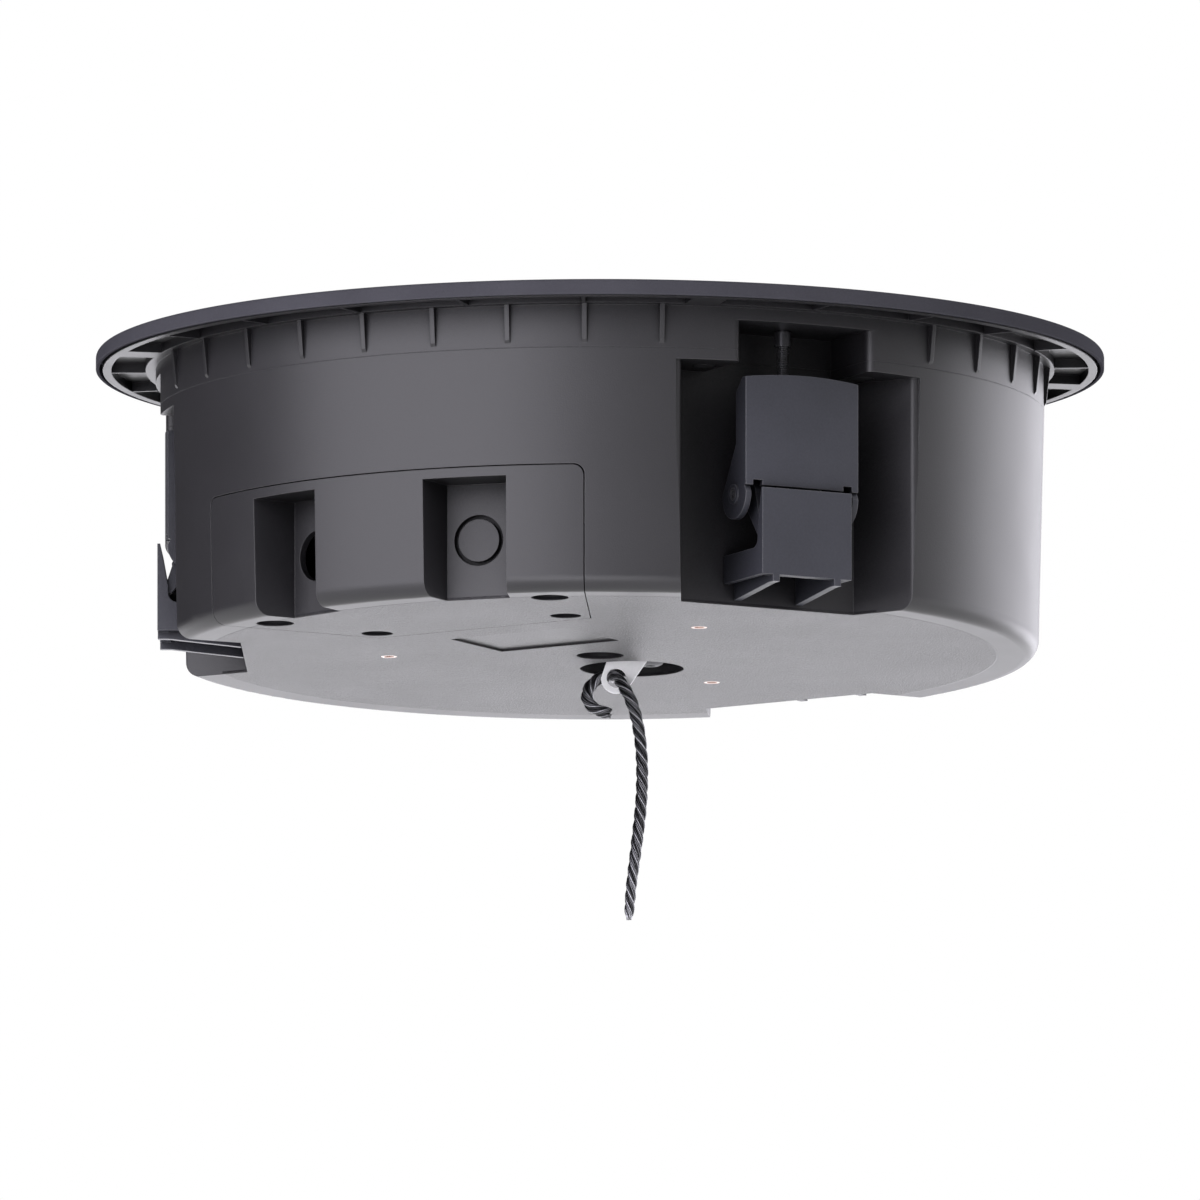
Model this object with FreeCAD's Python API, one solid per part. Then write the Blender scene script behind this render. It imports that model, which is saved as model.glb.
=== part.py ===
import FreeCAD
import Part
import math
import os
from FreeCAD import Vector

# A round flush-mounting ceiling loudspeaker, seen front side up: +Z points to the listening side.
# The origin is on the axis, in the plane of the flange underside that lies against the panel.
# Clamps and terminals are drawn at the -Y side and turned about Z to their places.
# In such a drawing "depth" is the distance from the axis towards -Y and "lat" runs along X.

# Overall sizes, mm
flange_overhang = 19.0
front_height = 5.3
can_radius = 141.0
can_draft = 1.7
total_depth = 91.5
seam_depth = 13.7
edge_round = 5.0
wall = 3.0
fit_gap = 0.35
slide_gap = 0.05

# Grille: steel sheet held by magnets
grille_sheet = 1.1
skirt_height = 5.0
grille_round = 1.5
grille_pitch = 26.0
grille_bar = 5.0
grille_border = 9.5
magnet_radius = 4.0
magnet_height = 2.2
magnet_angles = (45.0, 135.0, 225.0, 315.0)

# Mounting frame: flange ring with pockets, front baffle, driver seat
ring_gap = 1.1
outer_ring_width = 2.7
inner_ring_width = 3.2
pocket_roof = 1.2
rib_count = 24
rib_width = 1.2
pad_width = 11.0
baffle_drop = 1.1
baffle_thickness = 3.0
bowl_inset = 14.0
bowl_slope_width = 8.0
seat_drop = 9.0
seat_hole_inset = 24.0
gusset_pitch = 10.0
gusset_skip = 15.0
gusset_width = 1.6
gusset_reach = 1.9
gusset_tip_reach = 0.7
gusset_height = 12.3

# Clamp bays in the can
clamp_angles = (60.0, 180.0, 300.0)
bay_recess = 28.0
bay_half_width = 31.0
bay_flare_deg = 28.0
bay_overrun = 9.0
bay_mouth_round = 2.0
shoulder_thickness = 3.5
slot_half_width = 22.8
slot_mouth_round = 2.5

# Screws that join the can to the frame, through the bay shoulders
can_screw_lat = 28.3
can_screw_radius = 1.5
can_screw_head = 3.4
can_screw_head_height = 1.8
can_boss_radius = 4.5

# Clamp: screw, collar, carriage, nut, foot, pin, spring
screw_inset = 17.5
screw_radius = 2.0
screw_head_radius = 3.9
screw_head_height = 2.4
screw_end_rise = 8.9
collar_radius = 2.75
collar_height = 4.6
plate_inset = 1.0
plate_thickness = 3.4
plate_lip = 0.9
plate_half_width = 16.0
plate_top_rise = 34.3
plate_bottom_rise = 6.5
bevel_length = 13.8
block_rise = 15.5
block_web = 3.0
cheek_thickness = 2.0
notch_round = 3.0
rail_lat = 11.0
rail_width = 2.4
rail_front_drop = 2.2
rail_back_drop = 4.9
carriage_back_gap = 0.6
lug_lat = 12.0
lug_width = 3.0
lug_radius = 4.8
nut_flat = 3.5
nut_height = 3.2
pivot_inset = 12.4
pivot_rise = 33.1
pin_radius = 2.0
pin_hex = 1.2
ear_boss_radius = 3.2
ear_boss_height = 0.5
foot_inset = 3.0
foot_thickness = 2.0
foot_half_width = 20.2
foot_crown = 1.2
foot_notch_lat = 16.1
foot_notch_width = 3.2
foot_notch_height = 1.7
foot_top_drop = 4.3
foot_bottom_rise = 35.3
ear_back_inset = 11.1
ear_thickness = 2.0
ear_chamfer = 4.4
ear_round = 8.0
spring_wire = 0.6
spring_start = 5.0
spring_turns_width = 5.0
spring_leg = 9.0

# Terminal compartment and its cover
cover_half_deg = 30.0
cover_rise = 40.5
cover_reach = 72.4
cover_corner = 3.5
pocket_angle = 14.0
pocket_recess = 16.5
pocket_half_width = 10.5
pocket_mouth_half_width = 13.9
pocket_rise = 37.1
pocket_wall = 2.5
gland_radius = 8.15
gland_rise = 19.0
plug_radius = 6.8
plug_flange_radius = 9.6
plug_flange = 1.5
cover_screw_deg = 24.6
outer_tube_inset = 17.5
outer_tube_radius = 6.0
inner_tube_inset = 56.3
inner_tube_radius = 5.0
tube_wall = 2.0
tube_floor = 3.0
tube_rise = 29.5
cover_screw_radius = 1.5
cover_screw_head = 3.6
cover_screw_head_height = 2.4
cover_boss_radius = 4.6
terminal_half_width = 16.0
terminal_deep = 12.0
terminal_height = 12.0
terminal_drop = 10.5
terminal_ways = 4
terminal_way_radius = 2.2

# Back face: threaded inserts, centre recess, bare recessed panel, rope anchor
insert_circle = 67.0
insert_radius = 2.5
insert_thread_radius = 1.65
insert_length = 8.0
insert_boss_wall = 2.5
centre_recess_radius = 7.5
centre_recess_depth = 5.0
panel_half_width = 22.0
panel_near = 23.5
panel_far = 54.4
panel_recess = 0.7
anchor_angle = 32.0
anchor_lat = 10.1
anchor_behind = 27.7
anchor_recess_radius = 16.5
anchor_recess_depth = 6.0
anchor_screw_lat = 16.0
anchor_screw_behind = 31.0
anchor_screw_radius = 2.0
anchor_head_radius = 4.5
anchor_head_height = 3.0
anchor_screw_length = 9.0
anchor_boss_radius = 4.5
strap_thickness = 1.6
strap_margin = 5.0
eye_lat = 5.2
eye_behind = 23.4
eye_drop = 3.7
eye_radius = 3.1
eye_rim = 1.8

# Safety rope: its route, chosen by hand from the picture, starts at the short tail
rope_radius = 2.0
rope_setback = 0.45
rope_route = (
    (-10.8, 23.5, -106.1), (-14.9, 22.0, -105.4), (-18.4, 21.3, -101.8), (-18.8, 22.7, -97.6),
    (-16.4, 25.0, -94.2), (-11.7, 25.6, -93.8), (-8.0, 22.6, -95.2), (-4.2, 19.8, -97.6),
    (-0.3, 19.7, -103.6), (2.0, 20.4, -112.7), (3.0, 20.7, -124.0), (2.7, 20.6, -136.0),
    (1.7, 19.9, -147.0), (0.5, 19.2, -157.5), (-0.4, 18.6, -166.5), (-0.7, 18.5, -173.8),
)

# Driver: basket, motor, cone, tweeter on a post
gasket_thickness = 1.0
basket_inset = 11.0
basket_flange = 2.0
basket_flange_width = 19.0
basket_neck = 2.5
basket_wall = 1.6
basket_floor = -43.0
basket_floor_radius = 45.5
basket_floor_thickness = 2.0
basket_floor_hole = 20.0
basket_window_count = 6
basket_window_half_deg = 20.0
basket_window_top = -14.0
basket_window_bottom = -37.0
spider_seat_radius = 38.0
spider_seat_width = 3.0
spider_height = -34.0
spider_thickness = 0.8
driver_screw_count = 4
driver_screw_inset = 5.5
driver_screw_radius = 1.5
driver_screw_head = 3.0
driver_screw_head_height = 1.6
driver_screw_length = 6.5
surround_rise = 4.0
surround_lip = 4.5
surround_thickness = 0.8
surround_width = 12.0
cone_inset = 26.0
cone_top = -6.4
cone_neck = -31.0
cone_thickness = 1.0
coil_radius = 13.45
coil_wall = 0.65
coil_top = -29.0
coil_bottom = -52.0
coil_gap = 0.8
plate_radius = 42.0
top_plate_thickness = 5.0
magnet_ring_radius = 45.0
magnet_ring_hole = 20.0
magnet_ring_height = 15.0
back_plate_thickness = 5.0
post_radius = 4.0
tweeter_radius = 15.0
tweeter_bottom = -16.0
tweeter_height = 7.0
tweeter_wall = 1.5
dome_radius = 11.0
dome_rise = 3.5
dome_thickness = 0.6

# Crossover board on four posts
board_x = 60.0
board_y = 38.0
board_length = 56.0
board_width = 40.0
board_thickness = 1.6
board_post_height = 4.0
board_post_radius = 3.0
board_post_inset = 5.0
inductor_radius = 10.0
inductor_core_radius = 4.0
inductor_height = 12.0
inductor_offset = 12.0
capacitor_radius = 6.0
capacitor_height = 13.0
capacitor_spacing = 16.0
capacitor_offset = -15.0

# Heights and radii that follow from the sizes above
back_face = -total_depth
flange_radius = can_radius + flange_overhang
bay_depth = can_radius - bay_recess
bay_outside = can_radius + bay_overrun
screw_depth = can_radius - screw_inset
plate_front = can_radius - plate_inset
pivot_depth = can_radius - pivot_inset
foot_radius = can_radius - foot_inset
ear_back = can_radius - ear_back_inset
cover_chord = can_radius - cover_reach
pocket_depth = can_radius - pocket_recess
outer_tube_at = can_radius - outer_tube_inset
inner_tube_at = can_radius - inner_tube_inset
bowl_radius = bay_depth - bowl_inset
seat_hole_radius = bowl_radius - seat_hole_inset
basket_radius = bowl_radius - basket_inset
driver_screw_at = basket_radius - driver_screw_inset
cone_radius = basket_radius - cone_inset
floor_inside = back_face + wall
seam = -seam_depth
can_bottom_radius = can_radius - can_draft
frame_top = front_height - grille_sheet
ring_radius = flange_radius - grille_sheet - ring_gap
pocket_outer = ring_radius - outer_ring_width
pocket_inner = can_radius + inner_ring_width
baffle_top = -baffle_drop
baffle_bottom = baffle_top - baffle_thickness
seat_top = -seat_drop
seat_bottom = seat_top - wall
shoulder = seam - shoulder_thickness
plate_top = back_face + plate_top_rise
plate_bottom = back_face + plate_bottom_rise
block_top = back_face + block_rise
pivot_height = back_face + pivot_rise
foot_top = shoulder - foot_top_drop
foot_bottom = back_face + foot_bottom_rise
cover_top = back_face + cover_rise
pocket_top = back_face + pocket_rise
gland_height = back_face + gland_rise
tube_top = back_face + tube_rise
flare = math.tan(math.radians(bay_flare_deg))
plate_back = plate_front - plate_thickness
gasket_top = seat_top + gasket_thickness
flange_top = gasket_top + basket_flange
top_plate_bottom = basket_floor - top_plate_thickness
magnet_bottom = top_plate_bottom - magnet_ring_height
board_bottom = floor_inside + board_post_height
board_top = board_bottom + board_thickness
anchor_floor = back_face + anchor_recess_depth
past = 1.0


# Drawing helpers
def outline(points):
    """Closed wire; a point given as (mid, end) is reached by an arc through mid."""
    edges = []
    here = points[0]
    for step in points[1:] + [points[0]]:
        if isinstance(step[0], Vector):
            edges.append(Part.Arc(here, step[0], step[1]).toShape())
            here = step[1]
        else:
            edges.append(Part.makeLine(here, step))
            here = step
    return Part.Wire(edges)


def on_plane(points, place):
    """Turn pairs of numbers, and arcs ((mid), (end)) of such pairs, into vectors."""
    drawn = []
    for point in points:
        if isinstance(point[0], tuple):
            drawn.append((place(*point[0]), place(*point[1])))
        else:
            drawn.append(place(*point))
    return drawn


def turned(points):
    """Solid of revolution about Z from (radius, z) points."""
    wire = outline(on_plane(points, lambda r, z: Vector(r, 0, z)))
    return Part.Face(wire).revolve(Vector(0, 0, 0), Vector(0, 0, 1), 360)


def prism(points, low, high):
    """Upright prism from (lat, depth) points."""
    wire = outline(on_plane(points, lambda lat, depth: Vector(lat, -depth, low)))
    return Part.Face(wire).extrude(Vector(0, 0, high - low))


def cheek(points, start, end):
    """Plate across the clamp from (depth, z) points, between two lat values."""
    wire = outline(on_plane(points, lambda depth, z: Vector(start, -depth, z)))
    return Part.Face(wire).extrude(Vector(end - start, 0, 0))


def rod(radius, low, high, x=0.0, y=0.0):
    return Part.makeCylinder(radius, high - low, Vector(x, y, low))


def cross_rod(radius, start, end, depth, z):
    return Part.makeCylinder(radius, end - start, Vector(start, -depth, z), Vector(1, 0, 0))


def radial_rod(radius, near, far, z):
    return Part.makeCylinder(radius, far - near, Vector(0, -near, z), Vector(0, -1, 0))


def ring(outer, inner, low, high):
    return rod(outer, low, high).cut(rod(inner, low - past, high + past))


def block(lat0, lat1, depth0, depth1, low, high):
    corner = Vector(lat0, -depth1, low)
    return Part.makeBox(lat1 - lat0, depth1 - depth0, high - low, corner)


def hexagon(flat, low, high, depth):
    corner = flat / math.cos(math.radians(30))
    angles = [math.radians(60 * k) for k in range(6)]
    return prism([(corner * math.cos(a), depth + corner * math.sin(a)) for a in angles], low, high)


def about_z(shape, degrees):
    copy = shape.copy()
    copy.rotate(Vector(0, 0, 0), Vector(0, 0, 1), degrees)
    return copy


def polar(radius, degrees):
    """X and Y of a point that lies at a radius and an angle from -Y towards +X."""
    return radius * math.sin(math.radians(degrees)), -radius * math.cos(math.radians(degrees))


def at_polar(shape, radius, degrees):
    copy = shape.copy()
    x, y = polar(radius, degrees)
    copy.translate(Vector(x, y, 0))
    return copy


def joined(first, others):
    return first.fuse(others).removeSplitter()


def save(node, shape):
    solids = shape.Solids
    whole = solids[0] if len(solids) == 1 else Part.makeCompound(solids)
    whole.exportStep("parts/" + node + ".step")


# Outer form that the can and the terminal cover share
def can_form(inset, top):
    low = back_face + inset
    round_off = max(edge_round - inset, 1.0)
    radius = can_bottom_radius - inset
    mid = round_off * (1 - math.cos(math.radians(45)))
    slope = can_draft / (total_depth - seam_depth)
    return turned([
        (0, low), (radius - round_off, low),
        ((radius - mid, low + mid), (radius, low + round_off)),
        (can_radius - inset + slope * (top - seam), top), (0, top),
    ])


def bay_outline(extra):
    """Plan of a clamp bay, grown by extra on its back and its flared sides."""
    grown = extra / math.cos(math.radians(bay_flare_deg))
    back = bay_depth - extra
    near = bay_half_width + grown - extra * flare
    far = bay_half_width + grown + (bay_outside - bay_depth) * flare
    return [(-near, back), (near, back), (far, bay_outside), (-far, bay_outside)]


def mouth_outline(near, lean, radius, rounding):
    """Plan of a recess behind a wall of that radius: back half width, side slope, rounded mouth edges."""
    slope = 1 + lean ** 2
    start = near - lean * bay_depth
    corner_depth = (math.sqrt(radius ** 2 * slope - start ** 2) - lean * start) / slope
    corner = Vector(start + lean * corner_depth, corner_depth, 0)
    inward = Vector(-lean, -1, 0).normalize()
    along = Vector(corner.y, -corner.x, 0).normalize()
    half = inward.getAngle(along) / 2
    setback = rounding / math.tan(half)
    bulge = rounding / math.sin(half) - rounding
    first = corner + inward * setback
    middle = corner + (inward + along).normalize() * bulge
    last = corner + along * setback
    out = last * (bay_outside / radius)
    return [
        (-near, bay_depth), (near, bay_depth), (first.x, first.y), ((middle.x, middle.y), (last.x, last.y)),
        (out.x, out.y), (-out.x, out.y), (-last.x, last.y), ((-middle.x, middle.y), (-first.x, first.y)),
    ]


def clamp_slot(low, high):
    """Cut for the slot above a clamp, in which its foot rises."""
    return prism(mouth_outline(slot_half_width, 0, can_radius, slot_mouth_round), low, high)


def sector_outline(inset):
    """Plan of the terminal compartment; a negative inset grows it."""
    chord = cover_chord + inset
    lean = math.tan(math.radians(cover_half_deg))
    shift = inset / math.cos(math.radians(cover_half_deg))
    near = chord * lean - shift
    far = bay_outside * lean - shift
    return [(-near, chord), (near, chord), (far, bay_outside), (-far, bay_outside)]


def sector_prism(inset, corner):
    solid = prism(sector_outline(inset), back_face - past, cover_top - inset)
    top_sides = [
        edge for edge in solid.Edges
        if edge.BoundBox.ZMin > cover_top - inset - past and edge.BoundBox.XLength < edge.BoundBox.YLength
    ]
    return solid.makeFillet(corner, top_sides)


def pocket_outline(extra):
    """Plan of a cable pocket in the cover."""
    slope = (pocket_mouth_half_width - pocket_half_width) / (can_bottom_radius - pocket_depth)
    back = pocket_depth - extra
    near = pocket_half_width + extra
    far = near + slope * (bay_outside - pocket_depth)
    return [(-near, back), (near, back), (far, bay_outside), (-far, bay_outside)]


def tube_places():
    for side in (-1, 1):
        yield outer_tube_at, side * cover_screw_deg, outer_tube_radius
        yield inner_tube_at, side * cover_screw_deg, inner_tube_radius


# Front: grille, magnets, mounting frame
def grille_openings():
    """Square openings of the coarse grid inside the plain border."""
    reach = flange_radius - grille_border
    half = (grille_pitch - grille_bar) / 2
    count = int(reach / grille_pitch)
    steps = [grille_pitch * k for k in range(-count, count + 1)]
    for x in steps:
        for y in steps:
            if math.hypot(abs(x) + half, abs(y) + half) < reach:
                yield block(x - half, x + half, y - half, y + half, frame_top - past, front_height + past)


def grille():
    low = front_height - skirt_height
    inner = flange_radius - grille_sheet
    mid = grille_round * (1 - math.cos(math.radians(45)))
    cap = turned([
        (0, frame_top), (0, front_height), (flange_radius - grille_round, front_height),
        ((flange_radius - mid, front_height - mid), (flange_radius, front_height - grille_round)),
        (flange_radius, low), (inner, low), (inner, frame_top),
    ])
    return cap.cut(list(grille_openings()))


def magnet_place(degrees):
    return (pocket_outer + pocket_inner) / 2, degrees


def grille_magnets():
    one = rod(magnet_radius, frame_top - magnet_height, frame_top)
    return Part.makeCompound([at_polar(one, *magnet_place(a)) for a in magnet_angles])


def gusset():
    root = can_radius - wall / 2
    wedge = cheek(
        [(root, 0), (can_radius + gusset_reach, 0), (can_radius + gusset_tip_reach, -gusset_height + past),
         (can_radius, -gusset_height), (root, -gusset_height)],
        -gusset_width / 2, gusset_width / 2)
    return wedge


def gusset_angles():
    count = int(round(360 / gusset_pitch))
    for k in range(count):
        angle = k * gusset_pitch
        nearest = min(abs((angle - clamp + 180) % 360 - 180) for clamp in clamp_angles)
        if nearest >= gusset_skip:
            yield angle


def flange_pocket():
    """Ring-shaped hollow under the flange, with ribs and magnet pads left standing."""
    roof = frame_top - pocket_roof
    hollow = ring(pocket_outer, pocket_inner, -past, roof)
    rib = block(-rib_width / 2, rib_width / 2, can_radius, flange_radius, -past, roof)
    ribs = [about_z(rib, 360 / rib_count * k) for k in range(rib_count)]
    pad = block(-pad_width / 2, pad_width / 2, can_radius, flange_radius, -past, roof)
    pads = [about_z(pad, a) for a in magnet_angles]
    return hollow.cut(ribs + pads)


def frame_slot_box():
    """Walls that carry the clamp slot up from the seam to the baffle."""
    side = slot_half_width + wall
    reach = can_radius - wall / 2
    walls = block(-side, side, bay_depth - wall, can_radius, seam, baffle_bottom + past)
    return walls.common(rod(reach, seam, baffle_bottom + past))


def mounting_frame():
    inner = can_radius - wall
    bowl_in = bowl_radius - bowl_slope_width
    body = turned([
        (ring_radius, 0), (ring_radius, frame_top), (inner, frame_top), (inner, baffle_top),
        (bowl_radius, baffle_top), (bowl_in, seat_top), (seat_hole_radius, seat_top),
        (seat_hole_radius, seat_bottom), (bowl_in + wall, seat_bottom),
        (bowl_radius + wall, baffle_bottom), (inner, baffle_bottom),
        (inner, seam), (can_radius, seam), (can_radius, 0),
    ])
    added = [about_z(gusset(), a) for a in gusset_angles()]
    boss = rod(can_boss_radius, seam, baffle_bottom + past)
    cuts = [flange_pocket()]
    pilot = rod(can_screw_radius + slide_gap, seam - past, baffle_bottom - past)
    for angle in clamp_angles:
        added.append(about_z(frame_slot_box(), angle))
        cuts.append(about_z(clamp_slot(seam - past, baffle_bottom), angle))
        hole = rod(screw_radius + fit_gap, baffle_bottom - past, baffle_top + past, 0, -screw_depth)
        cuts.append(about_z(hole, angle))
        for side in (-1, 1):
            place = Vector(side * can_screw_lat, -screw_depth, 0)
            added.append(about_z(boss.translated(place), angle))
            cuts.append(about_z(pilot.translated(place), angle))
    for k in range(driver_screw_count):
        hole = rod(driver_screw_radius + slide_gap, seat_bottom - past, seat_top + past)
        cuts.append(at_polar(hole, driver_screw_at, driver_screw_angle(k)))
    socket = rod(magnet_radius + slide_gap, frame_top - magnet_height, frame_top + past)
    cuts += [at_polar(socket, *magnet_place(a)) for a in magnet_angles]
    return joined(body, added).cut(cuts)


# Back can with clamp bays, terminal compartment and back face details
def can_screw_places():
    for angle in clamp_angles:
        for side in (-1, 1):
            yield Vector(side * can_screw_lat, -screw_depth, 0), angle


def back_can():
    form = can_form(0, seam)
    shell = form.cut(can_form(wall, seam + past))
    bay_walls = prism(bay_outline(wall), back_face, seam)
    added = [about_z(bay_walls, a).common(form) for a in clamp_angles]
    room = prism(sector_outline(-wall), back_face, cover_top + wall).common(form)
    added.append(room)
    for radius, angle, tube_radius in tube_places():
        added.append(at_polar(rod(cover_boss_radius, tube_top, cover_top + wall), radius, angle))
    insert_boss = rod(insert_radius + insert_boss_wall, back_face, back_face + insert_length + wall)
    added += [at_polar(insert_boss, insert_circle, a) for a in clamp_angles]
    cup = rod(centre_recess_radius + wall, back_face, back_face + centre_recess_depth + wall)
    added.append(cup)
    anchor_cup = rod(anchor_recess_radius + wall, back_face, anchor_floor + wall, anchor_lat, anchor_behind)
    boss_top = anchor_floor + anchor_screw_length + wall
    anchor_boss = rod(anchor_boss_radius, back_face, boss_top, anchor_screw_lat, anchor_screw_behind)
    added += [about_z(anchor_cup, anchor_angle), about_z(anchor_boss, anchor_angle)]
    added += [rod(board_post_radius, back_face + past, board_bottom, x, y) for x, y in board_posts()]
    whole = joined(shell, added)

    cuts = []
    bay_plan = mouth_outline(bay_half_width, flare, can_radius - can_draft / 2, bay_mouth_round)
    bay = prism(bay_plan, back_face - past, shoulder)
    slot = clamp_slot(shoulder - past, seam + past)
    for angle in clamp_angles:
        cuts += [about_z(bay, angle), about_z(slot, angle)]
    for place, angle in can_screw_places():
        hole = rod(can_screw_radius + fit_gap, shoulder - past, seam + past)
        sink = rod(can_screw_head + fit_gap, shoulder - past, shoulder + can_screw_head_height + fit_gap)
        cuts += [about_z(hole.translated(place), angle), about_z(sink.translated(place), angle)]
    compartment = sector_prism(0, cover_corner)
    bosses = []
    for radius, angle, tube_radius in tube_places():
        boss = rod(cover_boss_radius, tube_top, cover_top + past)
        bosses.append(at_polar(boss, radius, angle))
        pilot = rod(cover_screw_radius + slide_gap, tube_top - past, cover_top - past)
        cuts.append(at_polar(pilot, radius, angle))
    cuts.append(compartment.cut(bosses))
    insert_hole = rod(insert_radius + slide_gap, back_face - past, back_face + insert_length)
    cuts += [at_polar(insert_hole, insert_circle, a) for a in clamp_angles]
    cuts.append(rod(centre_recess_radius, back_face - past, back_face + centre_recess_depth))
    anchor_recess = rod(anchor_recess_radius, back_face - past, anchor_floor, anchor_lat, anchor_behind)
    pilot_top = anchor_floor + anchor_screw_length
    anchor_pilot = rod(anchor_screw_radius + slide_gap, back_face, pilot_top,
                       anchor_screw_lat, anchor_screw_behind)
    cuts += [about_z(anchor_recess, anchor_angle), about_z(anchor_pilot, anchor_angle)]
    cuts.append(block(-panel_half_width, panel_half_width, panel_near, panel_far,
                      back_face - past, back_face + panel_recess))
    return whole.cut(cuts).removeSplitter()


def can_screws():
    head_top = shoulder + can_screw_head_height
    one = rod(can_screw_head, shoulder, head_top).fuse(
        rod(can_screw_radius, head_top - past, baffle_bottom - wall)).removeSplitter()
    return Part.makeCompound([about_z(one.translated(p), a) for p, a in can_screw_places()])


def terminal_cover():
    outer = can_form(0, cover_top + past).common(sector_prism(fit_gap, cover_corner))
    skin = outer.cut(can_form(wall, cover_top + 2 * past))
    added = []
    cuts = []
    high = pocket_top + pocket_wall
    for side in (-1, 1):
        walls = prism(pocket_outline(pocket_wall), back_face, high)
        added.append(about_z(walls, side * pocket_angle).common(outer))
        cuts.append(about_z(prism(pocket_outline(0), back_face - past, pocket_top), side * pocket_angle))
        hole = radial_rod(gland_radius, pocket_depth - pocket_wall - past, pocket_depth + past, gland_height)
        cuts.append(about_z(hole, side * pocket_angle))
    for radius, angle, tube_radius in tube_places():
        tube = rod(tube_radius + tube_wall, back_face, tube_top - fit_gap)
        added.append(at_polar(tube, radius, angle))
        cuts.append(at_polar(rod(tube_radius, back_face - past, tube_top - tube_floor), radius, angle))
        hole = rod(cover_screw_radius + fit_gap, back_face, tube_top + past)
        cuts.append(at_polar(hole, radius, angle))
    return joined(skin, added).cut(cuts).removeSplitter()


def blanking_plug():
    """Push-in plug for the unused cable hole; its flange lies behind the pocket wall."""
    inside = pocket_depth - pocket_wall
    face = radial_rod(plug_radius, inside - plug_flange, pocket_depth, gland_height)
    flange = radial_rod(plug_flange_radius, inside - plug_flange, inside, gland_height)
    return about_z(face.fuse(flange).removeSplitter(), pocket_angle)


def cover_screws():
    head_top = tube_top - tube_floor
    one = rod(cover_screw_head, head_top - cover_screw_head_height, head_top).fuse(
        rod(cover_screw_radius, head_top - past, cover_top - wall)).removeSplitter()
    return Part.makeCompound([at_polar(one, radius, angle) for radius, angle, r in tube_places()])


def threaded_inserts():
    one = ring(insert_radius, insert_thread_radius, back_face, back_face + insert_length)
    return Part.makeCompound([at_polar(one, insert_circle, a) for a in clamp_angles])


def terminal_block():
    high = cover_top - terminal_drop
    near = cover_chord
    body = block(-terminal_half_width, terminal_half_width, near, near + terminal_deep,
                 high - terminal_height, high)
    pitch = 2 * terminal_half_width / terminal_ways
    for k in range(terminal_ways):
        lat = -terminal_half_width + pitch * (k + 0.5)
        entry = radial_rod(terminal_way_radius, near + wall, near + terminal_deep + past,
                           high - terminal_height / 2)
        screw = rod(terminal_way_radius, high - terminal_height - past, high - terminal_height + wall,
                    lat, -(near + terminal_deep / 2))
        body = body.cut([entry.translated(Vector(lat, 0, 0)), screw])
    return body


# Rope anchor, its screw and the rope
def rope_anchor():
    """Angle bracket: a foot under the screw and a tapered tab that hangs down to a round eye."""
    base = anchor_floor - strap_thickness
    eye_height = back_face - eye_drop
    front = -eye_behind + strap_thickness / 2
    back = front - strap_thickness
    left = eye_lat - strap_margin / 2
    right = anchor_screw_lat + strap_margin
    foot = block(left, right, -anchor_screw_behind - strap_margin, front, base, anchor_floor)
    end_radius = eye_radius + eye_rim
    lean = end_radius * math.cos(math.radians(45))
    tab_view = [
        (left, anchor_floor), (right - strap_margin, anchor_floor), (right - strap_margin, base - past),
        (eye_lat + lean, eye_height - lean),
        ((eye_lat - lean, eye_height - lean), (eye_lat - end_radius, eye_height)),
        (left, base - past),
    ]
    wire = outline(on_plane(tab_view, lambda lat, z: Vector(lat, -back, z)))
    tab = Part.Face(wire).extrude(Vector(0, -strap_thickness, 0))
    strap = joined(foot, [tab])
    screw_hole = rod(anchor_screw_radius + fit_gap, base - past, anchor_floor + past,
                     anchor_screw_lat, anchor_screw_behind)
    eye = radial_rod(eye_radius, back - past, front + past, eye_height).translated(Vector(eye_lat, 0, 0))
    return about_z(strap.cut([screw_hole, eye]), anchor_angle)


def anchor_screw():
    seat = anchor_floor - strap_thickness
    head = rod(anchor_head_radius, seat - anchor_head_height, seat)
    shank = rod(anchor_screw_radius, seat - past, anchor_floor + anchor_screw_length - wall)
    place = Vector(anchor_screw_lat, anchor_screw_behind, 0)
    return about_z(head.fuse(shank).removeSplitter().translated(place), anchor_angle)


def safety_rope():
    """Tube along straight runs joined by tangent arcs, each as large as its runs allow."""
    points = [Vector(*p) for p in rope_route]
    edges = []
    here = points[0]
    for before, corner, after in zip(points, points[1:], points[2:]):
        towards = corner.sub(before)
        onward = after.sub(corner)
        setback = rope_setback * min(towards.Length, onward.Length)
        turn = towards.getAngle(onward)
        radius = setback / math.tan(turn / 2)
        start = corner.sub(Vector(towards).normalize().multiply(setback))
        end = corner.add(Vector(onward).normalize().multiply(setback))
        centre_line = start.add(end).multiply(0.5).sub(corner)
        centre_distance = radius / math.cos(turn / 2)
        inward = Vector(centre_line).normalize()
        mid = corner.add(inward.multiply(centre_distance - radius))
        edges.append(Part.LineSegment(here, start).toShape())
        edges.append(Part.Arc(start, mid, end).toShape())
        here = end
    edges.append(Part.LineSegment(here, points[-1]).toShape())
    path = Part.Wire(edges)
    first = points[1].sub(points[0])
    section = Part.Wire(Part.makeCircle(rope_radius, points[0], first))
    return path.makePipeShell([section], True, True)


# Driver and crossover
def driver_screw_angle(k):
    return 360 / driver_screw_count * (k + 0.5)


def driver_gasket():
    body = ring(basket_radius, seat_hole_radius, seat_top, gasket_top)
    hole = rod(driver_screw_radius + fit_gap, seat_top - past, gasket_top + past)
    angles = [driver_screw_angle(k) for k in range(driver_screw_count)]
    return body.cut([at_polar(hole, driver_screw_at, angle) for angle in angles])


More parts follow.
